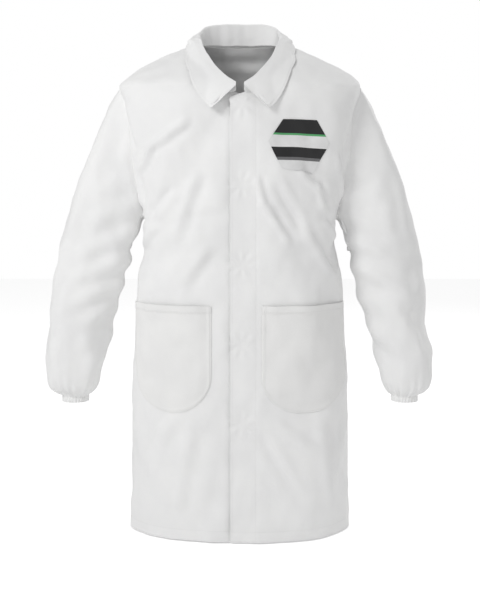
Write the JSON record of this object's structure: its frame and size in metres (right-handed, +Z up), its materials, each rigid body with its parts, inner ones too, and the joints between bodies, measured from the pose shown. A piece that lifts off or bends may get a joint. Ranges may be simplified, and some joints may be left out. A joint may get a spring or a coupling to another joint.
{
  "type": "lab coat",
  "caption": "White disposable laboratory coat with turned-down collar, snap front, elastic cuffs, patch pockets and a plain chest patch.",
  "frame": {"origin": "middle of the hem plane", "axes": "+Z up along the body, -Y out of the front, +X to the wearer's left"},
  "size_m": [0.7816, 0.2865, 1.0049],
  "materials": {
    "white_cloth": "non-woven laminate, matt with a faint sheen",
    "label_film": "printed film",
    "cuff_elastic": "covered elastic",
    "snap_plastic": "moulded"
  },
  "bodies": {
    "torso": {"back_panel": "white_cloth", "left_front_bodice": "white_cloth", "right_front_bodice": "white_cloth", "left_placket_facing_upper": "white_cloth", "right_placket_facing_upper": "white_cloth", "collar_stand": "white_cloth", "collar_back_leaf": "white_cloth", "chest_label": "label_film", "upper_snap_studs": "snap_plastic", "upper_snap_stud_rings": "snap_plastic", "upper_snap_sockets": "snap_plastic", "upper_snap_socket_rings": "snap_plastic"},
    "left_skirt": {"left_front_skirt": "white_cloth", "left_pocket": "white_cloth", "left_placket_facing_lower": "white_cloth", "lower_snap_sockets": "snap_plastic", "lower_snap_socket_rings": "snap_plastic"},
    "right_skirt": {"right_front_skirt": "white_cloth", "right_pocket": "white_cloth", "right_placket_facing_lower": "white_cloth", "lower_snap_studs": "snap_plastic", "lower_snap_stud_rings": "snap_plastic"},
    "left_sleeve": {"left_sleeve_upper": "white_cloth"},
    "left_forearm": {"left_sleeve_lower": "white_cloth", "left_cuff_hem": "white_cloth", "left_cuff_elastic": "cuff_elastic"},
    "left_wing": {"left_collar_wing": "white_cloth"},
    "right_sleeve": {"right_sleeve_upper": "white_cloth"},
    "right_forearm": {"right_sleeve_lower": "white_cloth", "right_cuff_hem": "white_cloth", "right_cuff_elastic": "cuff_elastic"},
    "right_wing": {"right_collar_wing": "white_cloth"}
  },
  "joints": [
    {"name": "left_front_open", "type": "hinge", "parent": "torso", "child": "left_skirt", "pos_m": [0.2195, -0.002, 0.23], "axis": [0, 0, 1], "range_deg": [0, 55]},
    {"name": "right_front_open", "type": "hinge", "parent": "torso", "child": "right_skirt", "pos_m": [-0.2195, -0.002, 0.23], "axis": [0, 0, 1], "range_deg": [-38.5, 0]},
    {"name": "left_arm_raise", "type": "hinge", "parent": "torso", "child": "left_sleeve", "pos_m": [0.218, 0, 0.742], "axis": [0, -1, 0], "range_deg": [0, 45]},
    {"name": "left_elbow_bend", "type": "hinge", "parent": "left_sleeve", "child": "left_forearm", "pos_m": [0.299, 0, 0.52], "axis": [-0.9724, 0, -0.2334], "range_deg": [0, 75]},
    {"name": "left_collar_lift", "type": "hinge", "parent": "torso", "child": "left_wing", "pos_m": [0.077, -0.001, 0.97], "axis": [-0.4011, -0.6978, -0.5934], "range_deg": [0, 50]},
    {"name": "right_arm_raise", "type": "hinge", "parent": "torso", "child": "right_sleeve", "pos_m": [-0.218, 0, 0.742], "axis": [0, 1, 0], "range_deg": [0, 45]},
    {"name": "right_elbow_bend", "type": "hinge", "parent": "right_sleeve", "child": "right_forearm", "pos_m": [-0.299, 0, 0.52], "axis": [-0.9724, 0, 0.2334], "range_deg": [0, 75]},
    {"name": "right_collar_lift", "type": "hinge", "parent": "torso", "child": "right_wing", "pos_m": [-0.077, -0.001, 0.97], "axis": [-0.4011, 0.6978, 0.5934], "range_deg": [0, 50]}
  ],
  "couplings": [
    {"joint": "right_front_open", "follows": "left_front_open", "ratio": -0.7}
  ]
}
